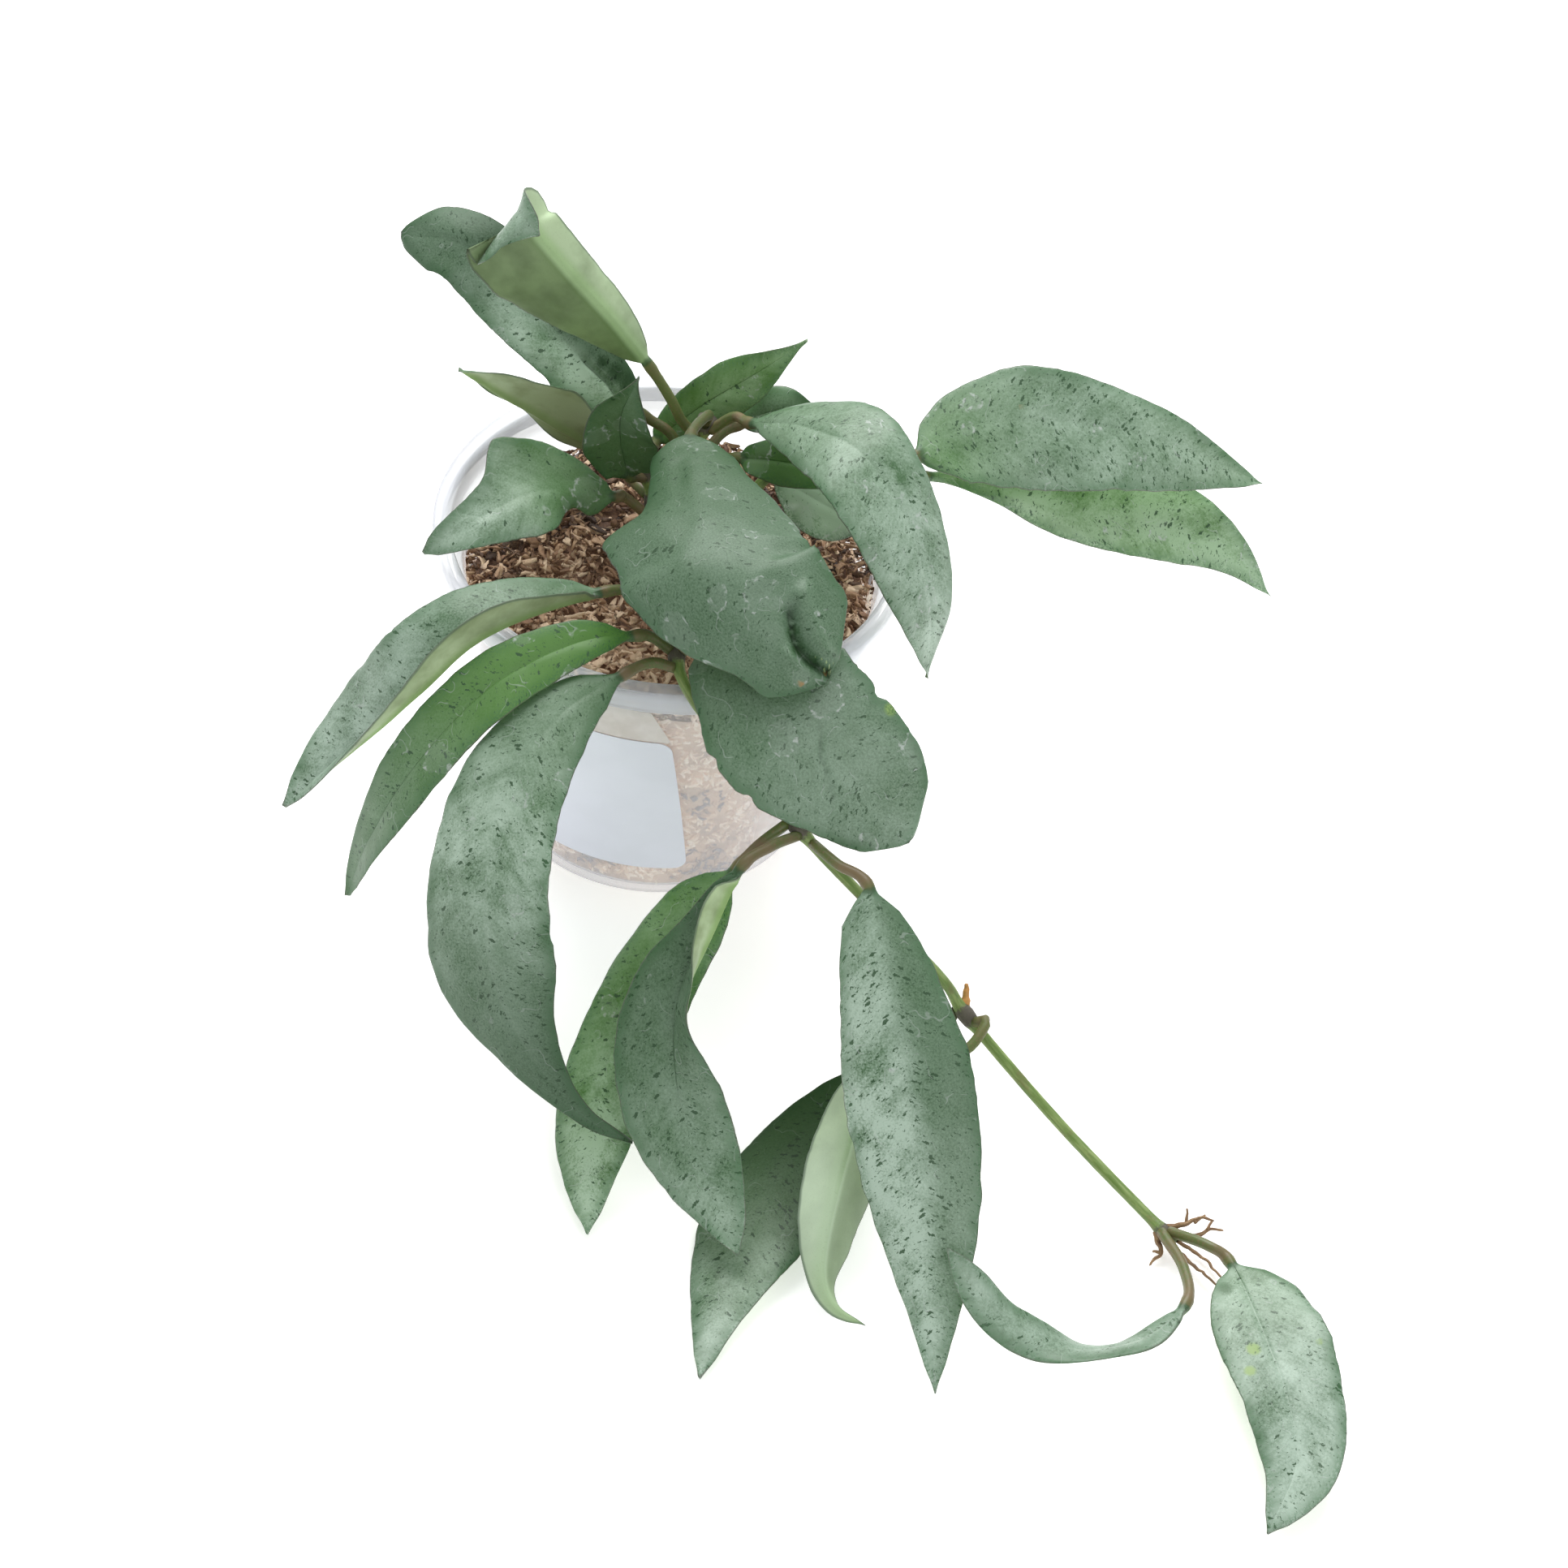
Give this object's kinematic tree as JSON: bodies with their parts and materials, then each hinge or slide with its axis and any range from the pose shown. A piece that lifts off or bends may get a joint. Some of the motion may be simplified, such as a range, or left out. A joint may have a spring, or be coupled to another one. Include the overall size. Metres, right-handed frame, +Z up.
{
  "type": "potted trailing hoya plant",
  "caption": "Trailing hoya with silvery, dark-flecked lance-shaped leaves, growing in a clear tapered plastic cup of shredded bark and moss, one long shoot lying down over the rim.",
  "frame": {"origin": "middle of the cup's base, on the surface it stands on", "axes": "+Z up; -Y towards the plant's front, where the long shoot trails over the rim; +X to the plant's right"},
  "size_m": [0.166, 0.1726, 0.1077],
  "materials": {
    "clear_plastic": "gloss",
    "growing_medium": "matte",
    "label_paper": "matte",
    "clear_tape": "satin",
    "stem": "satin",
    "dry_growth": "matte",
    "leaf_silver": "satin",
    "leaf_green": "satin",
    "leaf_dark": "satin",
    "leaf_pale_underside": "satin"
  },
  "bodies": {
    "root": {"cup": "clear_plastic", "growing_medium": "growing_medium", "label": "label_paper", "label_tape": "clear_tape", "crown_stem": "stem", "left_stem": "stem", "right_vine": "stem", "front_vine": "stem", "bud": "dry_growth", "aerial_root_left": "dry_growth", "aerial_root_top": "dry_growth", "aerial_root_right": "dry_growth", "dry_strand_long": "dry_growth", "dry_strand_short": "dry_growth", "leaf_back_long": "leaf_silver", "leaf_back_rolled": "leaf_pale_underside", "leaf_back_olive": "leaf_pale_underside", "leaf_small_upright": "leaf_dark", "leaf_left_twisted": "leaf_silver", "leaf_broad_middle": "leaf_silver", "leaf_broad_front": "leaf_silver", "leaf_right_arching": "leaf_silver", "leaf_right_under": "leaf_green", "leaf_right_dark": "leaf_dark", "leaf_back_green": "leaf_green", "leaf_back_low": "leaf_dark", "leaf_pair_upper": "leaf_silver", "leaf_pair_lower": "leaf_green", "leaf_left_upper": "leaf_silver", "leaf_left_middle": "leaf_green", "leaf_left_lower": "leaf_silver", "leaf_front_left": "leaf_green", "leaf_front_twisted": "leaf_silver", "leaf_table_dark": "leaf_dark", "leaf_table_pale": "leaf_pale_underside", "leaf_front_long": "leaf_silver", "leaf_end_curved": "leaf_silver", "leaf_end": "leaf_silver"}
  },
  "joints": []
}
